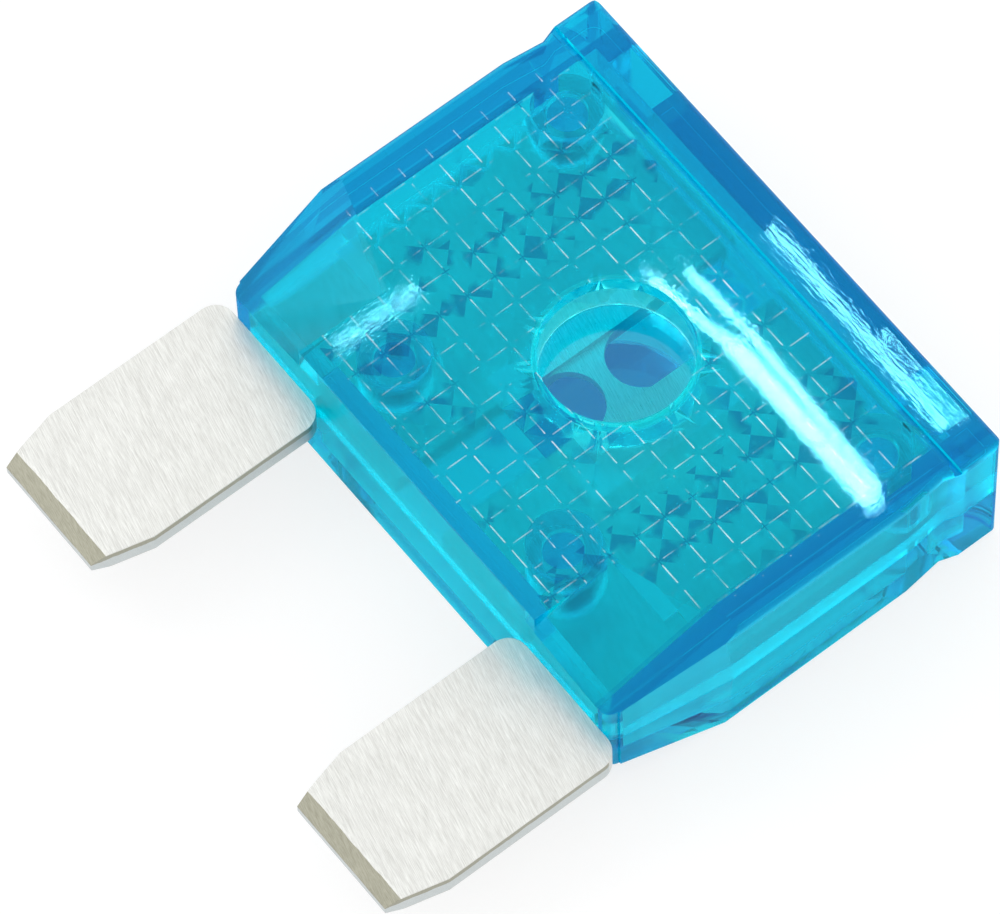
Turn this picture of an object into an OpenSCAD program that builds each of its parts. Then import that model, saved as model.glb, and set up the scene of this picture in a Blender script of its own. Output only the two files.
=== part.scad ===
// Large plug-in blade fuse for vehicles, lying on its back.
// Two clear moulded half shells hold one stamped metal strip that ends in two flat blades.
// X runs across the blades, Y runs from the blade tips up to the grip rail, Z is the thickness.

/* [Overall] */
// Width of the grip rail, the widest part of the housing
rail_width = 29.2; // [27:0.1:32]
// Height from the blade tips to the top of the grip rail
total_height = 34.3; // [33:0.1:38]
// Thickness of the housing, front face to back face
housing_thickness = 8.6; // [7.6:0.1:10]

/* [Blades] */
// Width of one blade
blade_width = 7.8; // [7:0.1:8.4]
// How far a blade stands out of the housing
blade_length = 12.6; // [11:0.1:14]
// Metal thickness of the strip and its blades
blade_thickness = 1.2; // [0.9:0.05:1.5]
// Length over which the blade narrows towards its tip
blade_taper_length = 3; // [2:0.1:4]
// How much each edge of the blade comes in at the tip
blade_tip_inset = 0.75; // [0.3:0.05:1.2]
// Length of the lead-in bevel on both sides of the tip
tip_bevel_length = 0.9; // [0.4:0.05:1.4]
// Thickness left at the very tip
tip_thickness = 0.5; // [0.3:0.05:0.8]
// Radius of the rounded blade corners beside the housing
root_radius = 1; // [0.5:0.05:1.4]

/* [Fuse strip inside the housing] */
// Width of the open slot between the two plates
slot_width = 3.4; // [2.6:0.1:3.8]
// Sideways offset of the slot from the middle
slot_offset = -0.55; // [-1:0.05:1]
// Width of the melting neck at its narrowest place
neck_width = 0.8; // [0.5:0.05:1.6]
// Thickness of the melting neck, pressed thinner than the plates
neck_thickness = 0.5; // [0.3:0.05:0.9]
// Height of the neck above the bottom of the housing
neck_height = 11.1; // [9.5:0.1:12.5]
// Space between the edge of the strip and the walls around it
strip_gap = 0.3; // [0.2:0.05:0.6]

/* [Housing] */
// Height of the grip rail
rail_height = 2.4; // [1.8:0.1:3]
// How far the rail stands out past the notch below it
rail_overhang = 0.3; // [0.15:0.01:0.4]
// Length over which each side widens from the notch to the rail
rail_shoulder = 0.9; // [0.5:0.1:1.4]
// How much each side comes in at the notch
notch_depth = 0.25; // [0.1:0.01:0.35]
// Length over which each side comes in to the notch
notch_length = 2.1; // [1.5:0.1:3]
// How much each side leans in from the seam to the face
side_draft = 0.05; // [0.02:0.01:0.15]
// Thickness of the front and back walls
face_wall = 1; // [0.9:0.05:1.4]
// Thickness of the side walls
side_wall = 1.9; // [1.5:0.05:2.2]
// Thickness of the bottom wall around the blades
bottom_wall = 1.1; // [0.9:0.05:1.6]
// Thickness of the top wall behind the rail
top_wall = 1.5; // [1.1:0.05:2]
// Length of each test slot through the top wall
probe_length = 3.1; // [2:0.1:3.4]
// Height of each test slot, across the seam
probe_height = 4; // [1:0.1:5]
// Distance of the test slots from the side walls of the hollow
probe_inset = 0.6; // [0.3:0.05:2]
// Radius of the long outer edges
edge_radius = 0.4; // [0.2:0.05:0.6]
// Radius of the upright outer corners
corner_radius = 0.6; // [0.3:0.05:1]
// Width of the groove between the face and the rail
groove_width = 0.35; // [0.2:0.05:0.6]
// Depth of the groove between the face and the rail
groove_depth = 0.3; // [0.15:0.05:0.4]

/* [Lower corners] */
// Distance from the inner edge of a blade to where the sloped corner face starts
slope_inset = 1.7; // [1.2:0.1:2.6]
// Height above the bottom where the slope starts on its inner side
slope_height = 5; // [4:0.1:6]
// Height above the bottom where the side of the housing starts to come in
side_kink_height = 6.3; // [5.5:0.1:8]
// How much the side comes in at the bottom
side_kink_inset = 0.95; // [0.4:0.05:1.3]
// Angle of the sloped corner faces
slope_angle = 16; // [8:0.5:18]
// Turn of the slope towards the outer side
slope_turn = 18; // [0:1:25]

/* [Window and pattern] */
// Radius of the round inspection window
window_radius = 3.6; // [3:0.05:4]
// Sideways offset of the window from the middle
window_offset = 0.3; // [-0.5:0.05:0.5]
// Depth of the round window below the face
window_depth = 2.45; // [1.5:0.05:2.6]
// Thickness of the clear window floor
window_floor = 0.3; // [0.2:0.05:0.5]
// Thickness of the tube wall round the window
window_wall = 0.8; // [0.6:0.05:1.1]
// Spacing of the crossed grooves inside the face
pattern_pitch = 1.57; // [1.3:0.01:2]
// Depth of the crossed grooves inside the face
pattern_depth = 0.26; // [0.1:0.01:0.35]
// Width of the flat land left between two grooves
pattern_land = 0.08; // [0.05:0.01:0.2]

/* [Pins] */
// Radius of the locating pins of the back shell
pin_radius = 0.95; // [0.7:0.05:1]
// Radius of the round posts that clamp the strip
post_radius = 1.7; // [1.5:0.05:1.9]
// Distance of the upper pins from the outer edge of the strip
upper_pin_inset = 1.25; // [1.2:0.05:2]
// Distance of the upper pins from the top edge of the strip
upper_pin_drop = 2.6; // [2.2:0.1:4]
// Distance of the lower pins towards the middle from the inner edge of a blade
lower_pin_inset = 0.7; // [0.3:0.1:1.2]
// Distance of the lower pins from the lower edge of the plates
lower_pin_rise = 2.1; // [1.9:0.1:3]

/* [Fits] */
// Clearance all round each pin in the strip and in its socket
pin_clearance = 0.05; // [0.03:0.01:0.1]
// Clearance between the blade roots and the slots they leave by
root_clearance = 0.05; // [0.02:0.01:0.1]

/* [Hidden] */
$fn = 64;
eps = 0.01;
reach = rail_width + total_height;
housing_height = total_height - blade_length;
half = housing_thickness / 2;
body_top = housing_height - rail_height;
rail_side = rail_width / 2;
body_side = rail_side - rail_overhang + notch_depth;
seam_side = body_side + side_draft;
metal = blade_thickness / 2;
cavity_side = body_side - side_wall;
cavity_top = housing_height - top_wall;
cavity_depth = half - face_wall;
edge_r = min(edge_radius, face_wall * 0.45);
blade_inner = rail_side - blade_width;
blade_outer = rail_side;
root_inner = blade_inner + root_radius;
plate_side = cavity_side - strip_gap;
root_outer = min(blade_outer - root_radius, plate_side);
plate_bottom = bottom_wall + strip_gap;
plate_top = cavity_top - strip_gap;
slot_low = slot_offset - slot_width / 2;
slot_high = slot_offset + slot_width / 2;
tip_bevel_drop = (blade_thickness - tip_thickness) / 2;
bevel_angle = atan(tip_bevel_drop / tip_bevel_length);
window_z = half - min(window_depth, half - metal - window_floor - 0.2);
window_outer = window_radius + window_wall;
pin_top = metal + 1.5;
field_low = slope_height - face_wall / 2;
field_high = body_top - groove_width;
columns = floor(2 * cavity_side / pattern_pitch) - 1;
rows = floor((field_high - field_low) / pattern_pitch) - 1;
field_mid = (field_low + field_high) / 2;
slope_start = blade_inner + slope_inset;
upper_pin_x = plate_side - upper_pin_inset;
upper_pin_y = plate_top - upper_pin_drop;
lower_pin_x = blade_inner - lower_pin_inset;
lower_pin_y = plate_bottom + lower_pin_rise;
pins = [[upper_pin_x, upper_pin_y], [-upper_pin_x, upper_pin_y],
        [lower_pin_x, lower_pin_y], [-lower_pin_x, lower_pin_y]];

front_shell();
rear_shell();
fuse_element();

// Drawn with the bottom of the housing at Y = 0 and the seam at Z = 0, then laid on its back face
module lay_down() {
  translate([0, blade_length - total_height / 2, half]) children();
}

// The sloped lower corners, as a solid to take away: drop is how far below the face the slope starts
module corner_slope(start, drop) {
  for (side = [0, 1]) mirror([side, 0, 0])
    intersection() {
      translate([slope_start, slope_height, half - drop])
        rotate([0, 0, slope_turn]) rotate([slope_angle, 0, 0])
          translate([-reach, -reach, 0]) cube([2 * reach, reach, reach]);
      translate([start, -reach, 0]) cube(2 * reach);
    }
}

// Rounds an upright outer corner: takes away what lies outside the radius
module corner_round(x, y, r, turn) {
  translate([x, y, -1]) rotate([0, 0, turn])
    difference() {
      translate([-1, -1, 0]) cube([r + 1, r + 1, half + 2]);
      translate([r, r, -1]) cylinder(r = r, h = half + 4);
    }
}

// Everything on the inner side of a long wall through X = 0 at the face, its upper edge rounded
module rounded_wall(draft) {
  lean = atan(draft / half);
  tangent = edge_r * tan(45 - lean / 2);
  rotate([90, 0, 0]) linear_extrude(2 * reach, center = true) {
    polygon([[-reach, 0], [draft, 0], [tangent * sin(lean), half - tangent * cos(lean)],
             [-tangent, half], [-reach, half]]);
    translate([-tangent, half - edge_r]) circle(r = edge_r);
  }
}

// The +X wall where it comes in to the shallow notch below the rail
module notch_wall() {
  translate([body_side, body_top - rail_shoulder - notch_length, 0])
    rotate([0, 0, atan(notch_depth / notch_length)]) rounded_wall(side_draft);
}

// The +X wall of the sloped shoulder that widens from the notch to the rail
module shoulder_wall() {
  translate([rail_side, body_top, 0]) rotate([0, 0, -atan(rail_overhang / rail_shoulder)]) rounded_wall(0);
}

// Outside of one half: the drafted body, and the rail, which starts in a sloped shoulder on each side
module half_outside() {
  difference() {
    union() {
      intersection() {
        translate([-reach, 0, 0]) cube([2 * reach, body_top + eps, half]);
        translate([body_side, 0, 0]) rounded_wall(side_draft);
        mirror([1, 0, 0]) translate([body_side, 0, 0]) rounded_wall(side_draft);
        notch_wall();
        mirror([1, 0, 0]) notch_wall();
      }
      intersection() {
        translate([-reach, body_top - rail_shoulder, 0]) cube([2 * reach, rail_height + rail_shoulder, half]);
        translate([0, housing_height, 0]) rotate([0, 0, 90]) rounded_wall(0);
        translate([rail_side, 0, 0]) rounded_wall(0);
        mirror([1, 0, 0]) translate([rail_side, 0, 0]) rounded_wall(0);
        shoulder_wall();
        mirror([1, 0, 0]) shoulder_wall();
      }
    }
    for (side = [0, 1]) mirror([side, 0, 0]) {
      translate([seam_side, side_kink_height, -1])
        rotate([0, 0, -atan(side_kink_inset / side_kink_height)])
          translate([0, -reach, 0]) cube([reach, reach, half + 2]);
      corner_round(seam_side - side_kink_inset, 0, corner_radius, 90);
      corner_round(rail_side, housing_height, corner_radius, 180);
    }
    corner_slope(slope_start, 0);
    translate([-reach / 2, body_top - groove_width, half - groove_depth]) cube([reach, groove_width, half]);
  }
}

// Crossed grooves that leave rows of low pyramids on the inside of the face
module pattern_grooves() {
  wide = (pattern_pitch - pattern_land) / 2;
  profile = [[-wide, -eps], [wide, -eps], [0, pattern_depth]];
  for (i = [0 : columns])
    translate([(i - columns / 2) * pattern_pitch, field_mid + rows * pattern_pitch / 2, cavity_depth])
      rotate([90, 0, 0]) linear_extrude(rows * pattern_pitch) polygon(profile);
  for (j = [0 : rows])
    translate([-columns * pattern_pitch / 2, field_mid + (j - rows / 2) * pattern_pitch, cavity_depth])
      rotate([90, 0, 90]) linear_extrude(columns * pattern_pitch) polygon(profile);
}

// The hollow inside one half, with the same sloped corners as the outside
module half_hollow() {
  difference() {
    translate([-cavity_side, bottom_wall, -1])
      cube([2 * cavity_side, cavity_top - bottom_wall, cavity_depth + 1]);
    corner_slope(slope_start - face_wall, face_wall / cos(slope_angle));
  }
}

// Shared moulding: outside, hollow, pattern, window, and the slots for the blades and for a test probe
module half_shell() {
  difference() {
    union() {
      difference() {
        half_outside();
        half_hollow();
        pattern_grooves();
      }
      translate([window_offset, neck_height, window_z - window_floor])
        cylinder(r = window_outer, h = half - groove_depth - window_z + window_floor);
      for (p = pins)
        translate([p[0], p[1], metal]) cylinder(r = post_radius, h = cavity_depth + face_wall / 2 - metal);
    }
    translate([window_offset, neck_height, window_z]) cylinder(r = window_radius, h = half);
    for (side = [0, 1]) mirror([side, 0, 0])
      translate([root_inner - root_clearance, -1, -1])
        cube([root_outer - root_inner + 2 * root_clearance, bottom_wall + 1 + eps, 1 + metal]);
    for (side = [0, 1]) mirror([side, 0, 0])
      translate([cavity_side - probe_inset - probe_length, cavity_top - eps, -1])
        cube([probe_length, top_wall + 1, 1 + probe_height / 2]);
  }
}

// Front half: its posts have blind sockets for the pins
module front_shell() {
  color([0.0, 0.55, 0.72, 0.55])
    lay_down()
      difference() {
        half_shell();
        for (p = pins)
          translate([p[0], p[1], metal - eps]) cylinder(r = pin_radius + pin_clearance, h = pin_top - metal + 0.3);
      }
}

// Back half: the mirror moulding, its posts carry the pins
module rear_shell() {
  color([0.0, 0.5, 0.68, 0.55])
    lay_down()
      union() {
        mirror([0, 0, 1]) half_shell();
        for (p = pins)
          translate([p[0], p[1], -metal - 0.5]) cylinder(r = pin_radius, h = metal + 0.5 + pin_top);
      }
}

// Outline of one blade, drawn on the +X side
module blade_outline() {
  difference() {
    union() {
      polygon([[blade_inner, 0], [blade_outer, 0], [blade_outer, blade_taper_length - blade_length],
               [blade_outer - blade_tip_inset, -blade_length], [blade_inner + blade_tip_inset, -blade_length],
               [blade_inner, blade_taper_length - blade_length]]);
      translate([root_inner, -eps]) square([root_outer - root_inner, plate_bottom + 2 * eps]);
    }
    for (edge = [[blade_inner, 0], [blade_outer, 1]])
      translate([edge[0], -root_radius]) mirror([edge[1], 0])
        difference() {
          translate([-1, 0]) square([root_radius + 1, root_radius + 0.5]);
          translate([root_radius, 0]) circle(r = root_radius);
        }
  }
}

// The stamped strip: blades, plates and the thin melting neck between them
module fuse_element() {
  color([0.83, 0.83, 0.82])
    lay_down()
      difference() {
        union() {
          translate([0, 0, -metal]) linear_extrude(blade_thickness) {
            for (side = [0, 1]) mirror([side, 0]) blade_outline();
            translate([slot_high, plate_bottom]) square([plate_side - slot_high, plate_top - plate_bottom]);
            translate([-plate_side, plate_bottom]) square([plate_side + slot_low, plate_top - plate_bottom]);
          }
          translate([0, 0, -neck_thickness / 2]) linear_extrude(neck_thickness)
            difference() {
              translate([slot_low - 0.2, neck_height - neck_width / 2 - slot_width / 2])
                square([slot_width + 0.4, neck_width + slot_width]);
              for (s = [-1, 1])
                translate([slot_offset, neck_height + s * (neck_width + slot_width) / 2]) circle(d = slot_width);
            }
        }
        for (p = pins)
          translate([p[0], p[1], -blade_thickness]) cylinder(r = pin_radius + pin_clearance, h = 2 * blade_thickness);
        for (flip = [0, 1]) mirror([0, 0, flip])
          translate([-reach / 2, -blade_length, metal - tip_bevel_drop]) rotate([bevel_angle, 0, 0])
            translate([0, -reach / 2, 0]) cube([reach, reach, blade_thickness]);
      }
}
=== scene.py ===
"""Looks for the large blade fuse: clear blue housing, bare metal strip, pale floor and soft studio light."""

import math

import bmesh
import bpy
from mathutils import Matrix, Vector


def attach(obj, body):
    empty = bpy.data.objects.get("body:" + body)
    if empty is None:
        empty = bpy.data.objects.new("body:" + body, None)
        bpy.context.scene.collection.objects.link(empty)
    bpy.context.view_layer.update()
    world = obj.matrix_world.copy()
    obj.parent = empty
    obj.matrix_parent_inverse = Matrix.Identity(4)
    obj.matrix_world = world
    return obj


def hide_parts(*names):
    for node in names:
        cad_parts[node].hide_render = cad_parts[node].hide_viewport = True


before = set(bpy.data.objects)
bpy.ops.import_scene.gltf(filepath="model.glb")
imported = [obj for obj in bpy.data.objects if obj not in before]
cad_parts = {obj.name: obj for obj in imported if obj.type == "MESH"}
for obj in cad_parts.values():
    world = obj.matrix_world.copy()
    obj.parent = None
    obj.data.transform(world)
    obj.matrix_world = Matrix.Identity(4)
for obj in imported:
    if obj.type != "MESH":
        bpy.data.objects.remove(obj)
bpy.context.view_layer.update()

MM = 0.001
# Heights in millimetres: the front face, the seam, and half the thickness of the metal
FACE_Z, SEAM_Z, METAL_HALF = 8.6 * MM, 4.3, 0.6
# Measured from the seam: where the outer faces begin, how far the grooves reach, and half the hollow
FACE_REACH, GROOVE_REACH, HOLLOW_HALF = 4.2, 3.62, 3.3
# Fine grid of the faces: spacing, one crossing, middle of its field along the blades, and half its size
PITCH, CROSSING, GRID_MID, GRID_HALF = 1.57, (0.25, 7.78), 5.1, (13.1, 8.8)
# Middles and half width of the two bands across the face where the painted shade of the darker facets lies
SHADE_BANDS, BAND_HALF = (-7.0, 8.75), 1.75
# Round window: middle, radius, and the radius of the tube round it in the solids and in the slim visual copy
WINDOW, WINDOW_RADIUS, TUBE_RADIUS, SLIM_TUBE = (0.3, 6.55), 3.62, 4.4, 3.78
# Where the tube ends above the seam, how near a corner lies to its tube or to a contact, and the air left there
TUBE_END, TUBE_NEAR, CONTACT_NEAR, AIR_GAP = 1.87, 0.02, 0.001, 0.015
# Where the grip rail, the solid rim, the outer side walls and the blade end begin
RAIL_START, RIM_START, SIDE_START, BLADE_END = 14.6, 12.7, 13.9, -5.2
# Tint of each pass through the plastic's surface: plain, painted shade on darker facets, window, painted shade on
# the window behind, painted light on the sides, painted shade on the rim and rail
PLASTIC, PLASTIC_PAINTED_SHADE, WINDOW_CLEAR = (0.10, 0.74, 0.84), (0.03, 0.22, 0.46), (1.0, 1.0, 1.0)
BACK_WINDOW_PAINTED_SHADE, SIDE_PAINTED_LIGHT, RIM_PAINTED_SHADE = (0.05, 0.36, 0.60), (0.08, 0.88, 0.95), (0.03, 0.52, 0.74)
# Index of refraction of the plastic, and the bounce after which a ray goes straight on
PLASTIC_IOR, LAST_BEND = 1.55, 4.5
# The brushed lines run a little off the width of the blades
BRUSH_TURN = math.radians(12)
# How far the streak lamps hang behind the face's mirror image, as a share of the camera's distance
LAMP_REACH = 0.8
# Camera solved on the photograph, in millimetres and degrees
CAMERA = {"azimuth": 54.184, "elevation": 62.967, "roll": -2.557, "distance": 401.58,
          "slide": (3.650, 3.187), "aim": (0.0, -4.55, 4.3), "lens": 323.92}


# Camera

def camera_axes():
    a, e, r = (math.radians(CAMERA[k]) for k in ("azimuth", "elevation", "roll"))
    back = Vector((math.sin(a) * math.cos(e), -math.cos(a) * math.cos(e), math.sin(e)))
    right = Vector((math.cos(a), math.sin(a), 0))
    up = back.cross(right)
    return (math.cos(r) * right + math.sin(r) * up, -math.sin(r) * right + math.cos(r) * up, back)


def camera_place():
    right, up, back = camera_axes()
    slide = CAMERA["slide"]
    return (Vector(CAMERA["aim"]) + back * CAMERA["distance"] + right * slide[0] + up * slide[1]) * MM


def make_camera():
    right, up, back = camera_axes()
    data = bpy.data.cameras.new("camera")
    data.lens, data.sensor_width = CAMERA["lens"], 36
    data.clip_start, data.clip_end = 0.01, 10
    camera = bpy.data.objects.new("camera", data)
    camera.matrix_world = Matrix.Translation(camera_place()) @ Matrix((right, up, back)).transposed().to_4x4()
    bpy.context.scene.collection.objects.link(camera)
    bpy.context.scene.camera = camera


# Light and floor

def area_light(name, place, target, size, strength):
    """An area lamp whose face has the given brightness, where 1 is white."""
    data = bpy.data.lights.new(name, "AREA")
    data.shape = "RECTANGLE"
    data.size, data.size_y = size
    data.energy = strength * math.pi * size[0] * size[1]
    lamp = bpy.data.objects.new(name, data)
    lamp.location = place
    lamp.rotation_euler = (Vector(target) - Vector(place)).to_track_quat("-Z", "Y").to_euler()
    bpy.context.scene.collection.objects.link(lamp)
    return lamp


def strip_light(name, start, end, width, reach, strength):
    """A strip lamp seen in the flat front face between two points of that face, given in millimetres."""
    eye = camera_place()
    mirrored = Vector((eye.x, eye.y, 2 * FACE_Z - eye.z))
    ends = []
    for x, y in (start, end):
        point = Vector((x * MM, y * MM, FACE_Z))
        ends.append(point + (point - mirrored) * reach)
    middle = (ends[0] + ends[1]) / 2
    along = (ends[1] - ends[0]).normalized()
    away = (middle - Vector((0, 0, FACE_Z))).normalized()
    side = away.cross(along).normalized()
    away = along.cross(side)
    size = ((ends[1] - ends[0]).length, width * MM * (1 + reach))
    lamp = area_light(name, middle, (0, 0, 0), size, strength)
    lamp.rotation_euler = Matrix((along, side, away)).transposed().to_euler()


def math_node(tree, kind, a, b=None, c=None):
    node = tree.nodes.new("ShaderNodeMath")
    node.operation = kind
    for socket, value in zip(node.inputs, (a, b, c)):
        if value is None:
            continue
        if isinstance(value, (int, float)):
            socket.default_value = value
        else:
            tree.links.new(value, socket)
    return node.outputs[0]


def seen_directly(tree):
    """1 for camera, mirror and see-through rays, 0 for the rays that light the scene."""
    ray = tree.nodes.new("ShaderNodeLightPath")
    seen = math_node(tree, "MAXIMUM", ray.outputs["Is Camera Ray"], ray.outputs["Is Glossy Ray"])
    return math_node(tree, "MAXIMUM", seen, ray.outputs["Is Transmission Ray"])


def make_world():
    world = bpy.data.worlds.new("studio")
    world.use_nodes = True
    nodes, links = world.node_tree.nodes, world.node_tree.links
    light = nodes["Background"]
    light.inputs["Color"].default_value = (1, 1, 1, 1)
    light.inputs["Strength"].default_value = 0.9
    white = nodes.new("ShaderNodeBackground")
    white.inputs["Color"].default_value = (1, 1, 1, 1)
    white.inputs["Strength"].default_value = 1.0
    mix = nodes.new("ShaderNodeMixShader")
    links.new(seen_directly(world.node_tree), mix.inputs["Fac"])
    links.new(light.outputs[0], mix.inputs[1])
    links.new(white.outputs[0], mix.inputs[2])
    links.new(mix.outputs[0], nodes["World Output"].inputs["Surface"])
    bpy.context.scene.world = world


def make_floor():
    mesh = bpy.data.meshes.new("floor")
    bm = bmesh.new()
    bmesh.ops.create_grid(bm, x_segments=1, y_segments=1, size=1.5)
    bmesh.ops.translate(bm, verts=bm.verts, vec=(0, 0, -0.00005))
    bm.to_mesh(mesh)
    bm.free()
    floor = bpy.data.objects.new("floor", mesh)
    bpy.context.scene.collection.objects.link(floor)
    material = bpy.data.materials.new("white_table")
    material.use_nodes = True
    shader = material.node_tree.nodes["Principled BSDF"]
    shader.inputs["Base Color"].default_value = (0.35, 0.35, 0.35, 1)
    shader.inputs["Roughness"].default_value = 0.9
    shader.inputs["Specular IOR Level"].default_value = 0.0
    shader.inputs["Emission Color"].default_value = (1, 1, 1, 1)
    tree = material.node_tree
    glow = math_node(tree, "MULTIPLY", seen_directly(tree), 0.72)
    tree.links.new(glow, shader.inputs["Emission Strength"])
    mesh.materials.append(material)


# Shared surface effects

def new_group(name, inputs, outputs):
    """A shader node group; inputs are (name, default), outputs are names."""
    group = bpy.data.node_groups.new(name, "ShaderNodeTree")
    for label, value in inputs:
        socket = group.interface.new_socket(label, in_out="INPUT", socket_type="NodeSocketFloat")
        socket.default_value = value
    for label in outputs:
        group.interface.new_socket(label, in_out="OUTPUT", socket_type="NodeSocketFloat")
    return group, group.nodes.new("NodeGroupInput"), group.nodes.new("NodeGroupOutput")


def stretched_noise(tree, scale, size, detail=3.0, rough=0.6, turn=0.0):
    """Noise in object space, in millimetres, turned in the plane and stretched by the scale vector."""
    coords = tree.nodes.new("ShaderNodeTexCoord")
    mapping = tree.nodes.new("ShaderNodeMapping")
    mapping.inputs["Scale"].default_value = [1000 * s for s in scale]
    turned = tree.nodes.new("ShaderNodeVectorRotate")
    turned.rotation_type = "Z_AXIS"
    turned.inputs["Angle"].default_value = turn
    tree.links.new(coords.outputs["Object"], turned.inputs["Vector"])
    tree.links.new(turned.outputs[0], mapping.inputs["Vector"])
    noise = tree.nodes.new("ShaderNodeTexNoise")
    noise.inputs["Scale"].default_value = size
    noise.inputs["Detail"].default_value = detail
    noise.inputs["Roughness"].default_value = rough
    tree.links.new(mapping.outputs[0], noise.inputs["Vector"])
    return noise.outputs["Fac"]


def place_mm(tree):
    """The three object coordinates in millimetres."""
    coords = tree.nodes.new("ShaderNodeTexCoord")
    parts = tree.nodes.new("ShaderNodeSeparateXYZ")
    tree.links.new(coords.outputs["Object"], parts.inputs[0])
    return [math_node(tree, "MULTIPLY", parts.outputs[i], 1000.0) for i in range(3)]


def within(tree, value, middle, half):
    """1 where the value lies less than half away from the middle, else 0."""
    away = math_node(tree, "ABSOLUTE", math_node(tree, "SUBTRACT", value, middle))
    return math_node(tree, "LESS_THAN", away, half)


def product(tree, first, *others):
    for other in others:
        first = math_node(tree, "MULTIPLY", first, other)
    return first


def from_noise(tree, noise, gain, shift):
    """Noise with its contrast raised, held between 0 and 1."""
    value = math_node(tree, "MULTIPLY_ADD", noise, gain, shift)
    return math_node(tree, "MINIMUM", math_node(tree, "MAXIMUM", value, 0.0), 1.0)


def rolled_lines_and_window_light():
    """Fine lines left by rolling and brushing the metal, running across the blades and stronger under the window,
    and the masks of the blade side walls and of the painted light on the metal under the window.
    """
    group, given, made = new_group("rolled_lines_and_window_light", [("Strength", 1.0)],
                                   ["Lines", "Mottle", "Edge", "Upper Edge Part", "Window Painted Light And Lines"])
    fine = stretched_noise(group, (1.3, 26.0, 26.0), 1.0, 3.0, 0.65, BRUSH_TURN)
    broad = stretched_noise(group, (0.7, 1.6, 1.6), 0.8, 3.0, 0.6, BRUSH_TURN)
    x, y, z = place_mm(group)
    # Under the window the lines are stronger and the metal gets painted light
    under_window = [within(group, place, middle, WINDOW_RADIUS + 0.4) for place, middle in zip((x, y), WINDOW)]
    window_painted_light_and_lines = product(group, *under_window)
    strength = math_node(group, "MULTIPLY_ADD", window_painted_light_and_lines, 1.6, given.outputs["Strength"])
    group.links.new(window_painted_light_and_lines, made.inputs["Window Painted Light And Lines"])
    lines = math_node(group, "MULTIPLY", math_node(group, "SUBTRACT", fine, 0.5), strength)
    mottle = math_node(group, "MULTIPLY", math_node(group, "SUBTRACT", broad, 0.5), given.outputs["Strength"])
    group.links.new(lines, made.inputs["Lines"])
    group.links.new(mottle, made.inputs["Mottle"])
    height = math_node(group, "SUBTRACT", z, SEAM_Z)
    wander = math_node(group, "MULTIPLY_ADD", broad, 0.06, METAL_HALF - 0.09)
    side = math_node(group, "LESS_THAN", math_node(group, "ABSOLUTE", height), wander)
    group.links.new(product(group, side, math_node(group, "LESS_THAN", y, BLADE_END)), made.inputs["Edge"])
    wander = math_node(group, "MULTIPLY_ADD", broad, 0.2, 0.1)
    group.links.new(math_node(group, "GREATER_THAN", height, wander), made.inputs["Upper Edge Part"])
    return group


def handling_marks():
    """Faint haze and fine scratches from handling."""
    group, given, made = new_group("handling_marks", [("Strength", 1.0)], ["Haze", "Scratches"])
    haze = stretched_noise(group, (0.6, 0.6, 0.6), 0.5, 2.0, 0.6)
    across = stretched_noise(group, (7.0, 2.6, 4.0), 1.0, 2.0, 0.7)
    along = stretched_noise(group, (0.7, 5.0, 4.0), 1.0, 2.0, 0.7)
    rail = math_node(group, "GREATER_THAN", place_mm(group)[1], RAIL_START)
    scratch = math_node(group, "MULTIPLY_ADD", math_node(group, "SUBTRACT", along, across), rail, across)
    group.links.new(math_node(group, "MULTIPLY", haze, given.outputs["Strength"]), made.inputs["Haze"])
    group.links.new(math_node(group, "MULTIPLY", scratch, given.outputs["Strength"]), made.inputs["Scratches"])
    return group


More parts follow.
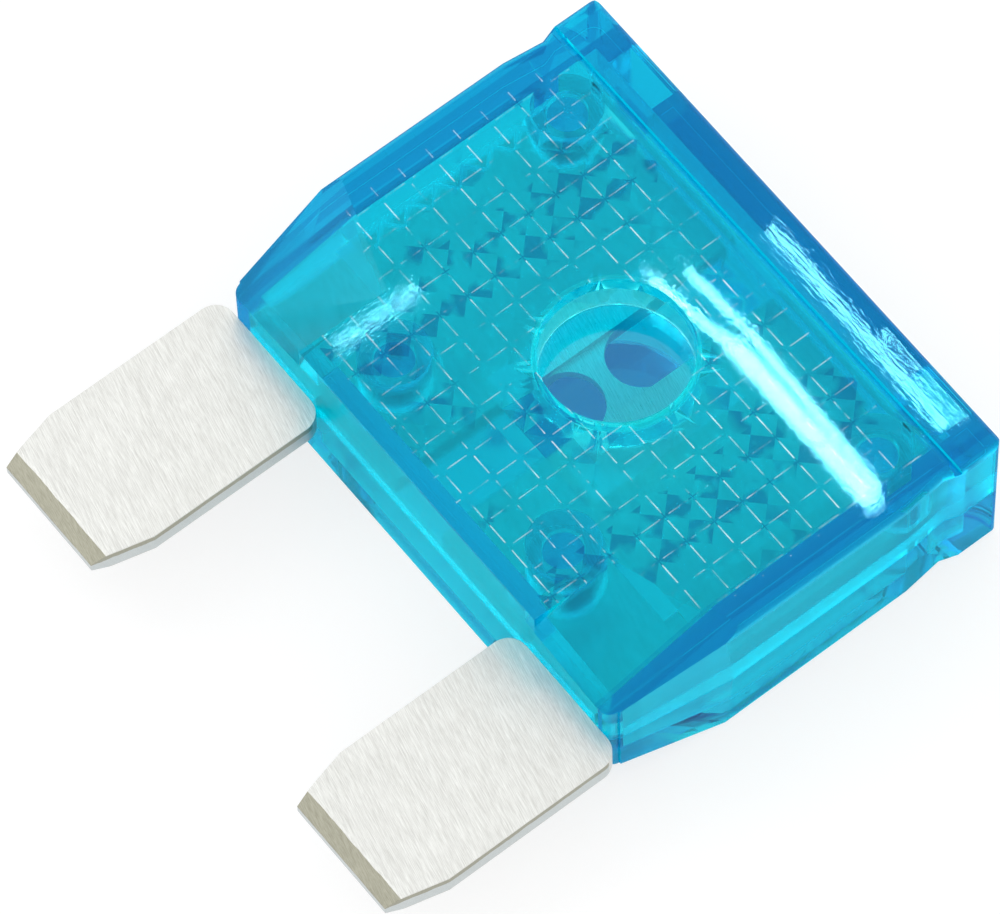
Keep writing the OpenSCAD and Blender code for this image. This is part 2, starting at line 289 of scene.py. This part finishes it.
def pressed_grid_and_painted_light():
    """The fine grid pressed into the faces, with painted glints on its broken edges, painted shade at its crossings
    and on some facets, and the masks for the clear window, the painted shade of the back window and of the rim and
    rail, and the painted light of the sides.
    """
    group, given, made = new_group("pressed_grid_and_painted_light", [("Line", 0.03)],
                                   ["Painted Glint", "Shade", "Inside", "Window", "Back Window Painted Shade", "Side", "Rim Painted Shade"])
    x, y, z = place_mm(group)
    depth = math_node(group, "ABSOLUTE", math_node(group, "SUBTRACT", z, SEAM_Z))
    outer = math_node(group, "GREATER_THAN", depth, FACE_REACH)
    field = product(group, outer, within(group, x, 0.0, GRID_HALF[0]), within(group, y, GRID_MID, GRID_HALF[1]))
    u, v = (math_node(group, "PINGPONG", math_node(group, "MULTIPLY_ADD", place, 1 / PITCH, 20 - start / PITCH), 0.5)
            for place, start in zip((x, y), CROSSING))
    line = math_node(group, "MULTIPLY", given.outputs["Line"], 1 / PITCH)
    # Painted glint: broken bright dashes along the grid lines; the dark arms at the crossings are painted shade
    painted_glints, arms = [], []
    for across, along, stretch, gain, shift in ((v, u, (0.9, 1.3, 1), 4.0, -1.6), (u, v, (1.3, 0.9, 1), 2.5, -1.05)):
        on_line = math_node(group, "LESS_THAN", across, line)
        middle = math_node(group, "GREATER_THAN", along, 0.15)
        broken = from_noise(group, stretched_noise(group, stretch, 0.8, 3.0, 0.6), gain, shift)
        painted_glints.append(product(group, on_line, middle, broken))
        arms.append(product(group, on_line, math_node(group, "SUBTRACT", 1.0, middle)))
    painted_glint = math_node(group, "MAXIMUM", *painted_glints)
    # Painted shade: darker facets, in two bands across the face and in patches, with the dark arms at the crossings
    bands = [within(group, x, middle, BAND_HALF) for middle in SHADE_BANDS]
    zone = from_noise(group, stretched_noise(group, (0.35, 0.35, 1), 0.9, 1.0, 0.5), 6.0, -3.1)
    zone = math_node(group, "MAXIMUM", math_node(group, "MULTIPLY", math_node(group, "MAXIMUM", *bands), 0.9), zone)
    facet = math_node(group, "LESS_THAN", u, v)
    facets = product(group, facet, from_noise(group, stretched_noise(group, (1, 1, 1), 0.9, 1.0, 0.5), 8.0, -3.3))
    shade = math_node(group, "MAXIMUM", math_node(group, "MAXIMUM", *arms), facets)
    off = [math_node(group, "SUBTRACT", place, middle) for place, middle in zip((x, y), WINDOW)]
    radius = math_node(group, "SQRT", math_node(group, "ADD", *(math_node(group, "MULTIPLY", o, o) for o in off)))
    hole = math_node(group, "LESS_THAN", radius, SLIM_TUBE + 0.05)
    front = math_node(group, "GREATER_THAN", z, SEAM_Z)
    width = math_node(group, "ABSOLUTE", x)
    # Outer side walls and blade end: painted light there, and left out of the rough inside
    side = math_node(group, "MAXIMUM", math_node(group, "GREATER_THAN", width, SIDE_START),
                     math_node(group, "LESS_THAN", y, BLADE_END))
    # Rim and rail: painted shade, a darker tint there
    painted_shade_rim = math_node(group, "MAXIMUM", math_node(group, "GREATER_THAN", width, RIM_START),
                    math_node(group, "GREATER_THAN", y, RAIL_START))
    inside = product(group, within(group, z, SEAM_Z, GROOVE_REACH),
                     math_node(group, "SUBTRACT", 1.0, math_node(group, "MAXIMUM", side, hole)))
    # The window of the rear shell carries painted shade, a darker tint standing for the floor's shadow under it
    for label, value in (("Painted Glint", product(group, painted_glint, field)), ("Shade", product(group, shade, zone, field)),
                         ("Inside", inside), ("Window", product(group, hole, front)),
                         ("Back Window Painted Shade", product(group, hole, math_node(group, "SUBTRACT", 1.0, front))),
                         ("Side", side), ("Rim Painted Shade", painted_shade_rim)):
        group.links.new(value, made.inputs[label])
    return group


def place_group(tree, group, **values):
    node = tree.nodes.new("ShaderNodeGroup")
    node.node_tree = group
    for label, value in values.items():
        node.inputs[label].default_value = value
    return node


# Materials

def mixed_colour(tree, factor, first, second):
    """Goes from the first colour to the second, each a colour socket or three values."""
    mix = tree.nodes.new("ShaderNodeMix")
    mix.data_type = "RGBA"
    tree.links.new(factor, mix.inputs["Factor"])
    for label, colour in (("A", first), ("B", second)):
        if isinstance(colour, tuple):
            mix.inputs[label].default_value = (*colour, 1)
        else:
            tree.links.new(colour, mix.inputs[label])
    return mix.outputs["Result"]


def clear_blue_plastic(marks, grid_with_painted_light):
    material = bpy.data.materials.new("clear_blue_plastic")
    material.use_nodes = True
    tree = material.node_tree
    nodes, links = tree.nodes, tree.links
    shader = nodes["Principled BSDF"]
    shader.inputs["IOR"].default_value = PLASTIC_IOR
    shader.inputs["Transmission Weight"].default_value = 1.0
    shader.inputs["Specular Tint"].default_value = (0.16, 0.70, 0.82, 1)
    # The strong, fairly rough clear coat makes the painted glint lines shine white
    shader.inputs["Coat IOR"].default_value = 4.0
    shader.inputs["Coat Roughness"].default_value = 0.25
    wear = place_group(tree, marks, Strength=1.0)
    grid_and_painted_light = place_group(tree, grid_with_painted_light, Line=0.03)
    # Painted shade on the darker facets and at the grid crossings
    body = mixed_colour(tree, grid_and_painted_light.outputs["Shade"], PLASTIC, PLASTIC_PAINTED_SHADE)
    # Painted shade: darker rim and rail
    body = mixed_colour(tree, grid_and_painted_light.outputs["Rim Painted Shade"], body, RIM_PAINTED_SHADE)
    # Painted light: lighter tint on the outer side walls and the blade end
    body = mixed_colour(tree, grid_and_painted_light.outputs["Side"], body, SIDE_PAINTED_LIGHT)
    # Painted shade: the rear window is darker, for the shadow of the floor beneath
    body = mixed_colour(tree, grid_and_painted_light.outputs["Back Window Painted Shade"], body, BACK_WINDOW_PAINTED_SHADE)
    links.new(mixed_colour(tree, grid_and_painted_light.outputs["Window"], body, WINDOW_CLEAR), shader.inputs["Base Color"])
    # Painted glint: the broken grid lines get the coat
    links.new(grid_and_painted_light.outputs["Painted Glint"], shader.inputs["Coat Weight"])
    rough = math_node(tree, "MULTIPLY_ADD", wear.outputs["Haze"], 0.02, 0.005)
    links.new(math_node(tree, "MULTIPLY_ADD", grid_and_painted_light.outputs["Inside"], 0.2, rough), shader.inputs["Roughness"])
    bump = nodes.new("ShaderNodeBump")
    bump.inputs["Distance"].default_value = MM
    links.new(math_node(tree, "MULTIPLY", wear.outputs["Scratches"], 0.0003), bump.inputs["Height"])
    links.new(bump.outputs["Normal"], shader.inputs["Normal"])
    # Steep walls seen from outside mirror less, so that they keep the colour of the plastic
    steep = nodes.new("ShaderNodeLayerWeight")
    facing = from_noise(tree, steep.outputs["Facing"], 3.0, -1.05)
    outside = nodes.new("ShaderNodeNewGeometry")
    for left_out in (outside.outputs["Backfacing"], grid_and_painted_light.outputs["Window"]):
        facing = product(tree, facing, math_node(tree, "SUBTRACT", 1.0, left_out))
    facing = product(tree, facing, 0.85)
    through = nodes.new("ShaderNodeBsdfRefraction")
    through.inputs["Color"].default_value = (0.4, 1.0, 1.0, 1)
    through.inputs["IOR"].default_value = PLASTIC_IOR
    through.inputs["Roughness"].default_value = 0.0
    walls = nodes.new("ShaderNodeMixShader")
    links.new(facing, walls.inputs["Fac"])
    links.new(shader.outputs[0], walls.inputs[1])
    links.new(through.outputs[0], walls.inputs[2])
    # Shadow rays, and rays that have bounced a lot, pass straight through: light reaches the metal and the floor
    clear = nodes.new("ShaderNodeBsdfTransparent")
    ray = nodes.new("ShaderNodeLightPath")
    mix = nodes.new("ShaderNodeMixShader")
    tired = math_node(tree, "GREATER_THAN", ray.outputs["Ray Depth"], LAST_BEND)
    links.new(math_node(tree, "MAXIMUM", ray.outputs["Is Shadow Ray"], tired), mix.inputs["Fac"])
    links.new(walls.outputs[0], mix.inputs[1])
    links.new(clear.outputs[0], mix.inputs[2])
    output = nodes["Material Output"]
    links.new(mix.outputs[0], output.inputs["Surface"])
    tint = nodes.new("ShaderNodeVolumeAbsorption")
    tint.inputs["Color"].default_value = (0.0, 0.968, 0.990, 1)
    tint.inputs["Density"].default_value = 1700.0
    links.new(tint.outputs[0], output.inputs["Volume"])
    return material


def two_tones(tree, factor, low, high):
    ramp = tree.nodes.new("ShaderNodeValToRGB")
    ramp.color_ramp.elements[0].position, ramp.color_ramp.elements[1].position = 0.3, 0.7
    ramp.color_ramp.elements[0].color = (*low, 1)
    ramp.color_ramp.elements[1].color = (*high, 1)
    tree.links.new(factor, ramp.inputs["Fac"])
    return ramp.outputs["Color"]


def bare_zinc(lines):
    material = bpy.data.materials.new("bare_zinc")
    material.use_nodes = True
    tree = material.node_tree
    nodes, links = tree.nodes, tree.links
    shader = nodes["Principled BSDF"]
    shader.inputs["Metallic"].default_value = 0.85
    metal_marks_and_window_light = place_group(tree, lines, Strength=1.0)
    tone = math_node(tree, "MULTIPLY_ADD", metal_marks_and_window_light.outputs["Mottle"], 0.15, metal_marks_and_window_light.outputs["Lines"])
    tone = math_node(tree, "MULTIPLY_ADD", tone, 0.8, 0.5)
    # Side walls of the blades beyond the housing: darker beige on their upper part, grey below
    edge = mixed_colour(tree, metal_marks_and_window_light.outputs["Upper Edge Part"],
                        two_tones(tree, tone, (0.52, 0.56, 0.56), (0.74, 0.78, 0.78)),
                        two_tones(tree, tone, (0.28, 0.275, 0.21), (0.50, 0.49, 0.40)))
    # Painted light: the metal under the window is painted brighter
    flat = mixed_colour(tree, metal_marks_and_window_light.outputs["Window Painted Light And Lines"], two_tones(tree, tone, (0.58, 0.58, 0.55), (0.93, 0.94, 0.91)),
                        two_tones(tree, tone, (0.8, 0.8, 0.8), (1.0, 1.0, 1.0)))
    links.new(mixed_colour(tree, metal_marks_and_window_light.outputs["Edge"], flat, edge), shader.inputs["Base Color"])
    links.new(math_node(tree, "MULTIPLY_ADD", metal_marks_and_window_light.outputs["Lines"], 0.3, 0.42), shader.inputs["Roughness"])
    bump = nodes.new("ShaderNodeBump")
    bump.inputs["Strength"].default_value = 0.25
    bump.inputs["Distance"].default_value = 0.00004
    links.new(metal_marks_and_window_light.outputs["Lines"], bump.inputs["Height"])
    links.new(bump.outputs["Normal"], shader.inputs["Normal"])
    return material


# Pieces

def merged_copy(name, node):
    """The node's own mesh as a new piece, with its doubled corners merged."""
    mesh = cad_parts[node].data.copy()
    mesh.name = name
    mesh.materials.clear()
    bm = bmesh.new()
    bm.from_mesh(mesh)
    bmesh.ops.remove_doubles(bm, verts=bm.verts, dist=1e-6)
    bmesh.ops.dissolve_limit(bm, angle_limit=math.radians(0.5), verts=bm.verts, edges=bm.edges)
    bm.to_mesh(mesh)
    bm.free()
    mesh.shade_smooth()
    mesh.set_sharp_from_angle(angle=math.radians(9))
    piece = bpy.data.objects.new(name, mesh)
    bpy.context.scene.collection.objects.link(piece)
    return piece


def make_strip(metal):
    piece = merged_copy("metal_strip", "fuse_element")
    piece.data.materials.append(metal)
    rounding = piece.modifiers.new("rounding", "BEVEL")
    rounding.width = 0.0001
    rounding.segments = 2
    rounding.limit_method = "ANGLE"
    rounding.angle_limit = math.radians(25)
    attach(piece, "root")
    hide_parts("fuse_element")


def make_shell(name, node, outward, plastic):
    """A half shell with a slim tube round its window and a hair of air where it touches the other pieces."""
    piece = merged_copy(name, node)
    piece.data.materials.append(plastic)
    middle = Vector((WINDOW[0] * MM, WINDOW[1] * MM))
    bm = bmesh.new()
    bm.from_mesh(piece.data)
    bmesh.ops.triangulate(bm, faces=bm.faces)
    for vertex in bm.verts:
        for contact in (SEAM_Z, SEAM_Z + outward * METAL_HALF):
            if abs(vertex.co.z - contact * MM) < CONTACT_NEAR * MM:
                vertex.co.z += outward * AIR_GAP * MM
        off = vertex.co.xy - middle
        if abs(off.length - TUBE_RADIUS * MM) < TUBE_NEAR * MM:
            vertex.co.xy = middle + off.normalized() * SLIM_TUBE * MM
            level = HOLLOW_HALF if outward * (vertex.co.z / MM - SEAM_Z) > TUBE_END else TUBE_END
            vertex.co.z = (SEAM_Z + outward * level) * MM
    bm.to_mesh(piece.data)
    bm.free()
    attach(piece, "root")
    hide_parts(node)


make_camera()
make_world()
make_floor()
area_light("key", (-0.35, -0.15, 0.45), (0, 0, 0), (0.3, 0.3), 1.2)
# Streaks seen in the face: where each starts and ends on it, its width in millimetres and its brightness
for name, start, end, width, strength in (
        ("face_strip", (3.2, 10.8), (13.4, 10.7), 0.8, 75),
        ("face_strip_high", (3.2, 11.75), (12.9, 11.35), 0.3, 75),
        ("face_strand_low", (-1.7, 10.0), (3.3, 10.7), 0.35, 75),
        ("face_strand_high", (-0.9, 11.54), (3.3, 11.75), 0.25, 75),
        ("rail_strip", (-0.5, 15.85), (12.7, 15.5), 0.4, 45),
        ("rail_strand", (6.9, 16.45), (12.8, 16.25), 0.15, 45),
        ("corner_strip", (-7.7, -3.1), (-7.7, 1.6), 0.35, 35)):
    strip_light(name, start, end, width, LAMP_REACH, strength)

lines, marks, grid_with_painted_light = rolled_lines_and_window_light(), handling_marks(), pressed_grid_and_painted_light()
make_strip(bare_zinc(lines))
plastic = clear_blue_plastic(marks, grid_with_painted_light)
make_shell("front_moulding", "front_shell", 1, plastic)
make_shell("rear_moulding", "rear_shell", -1, plastic)
# Enough bounces for the clear shells, and no light tree, which is slow for so few lamps
bounces = bpy.context.scene.cycles
bounces.max_bounces = bounces.transmission_bounces = 6
bounces.diffuse_bounces, bounces.glossy_bounces = 1, 4
bounces.transparent_max_bounces = 10
bounces.use_light_tree = False

bpy.context.scene.view_settings.view_transform = "Standard"
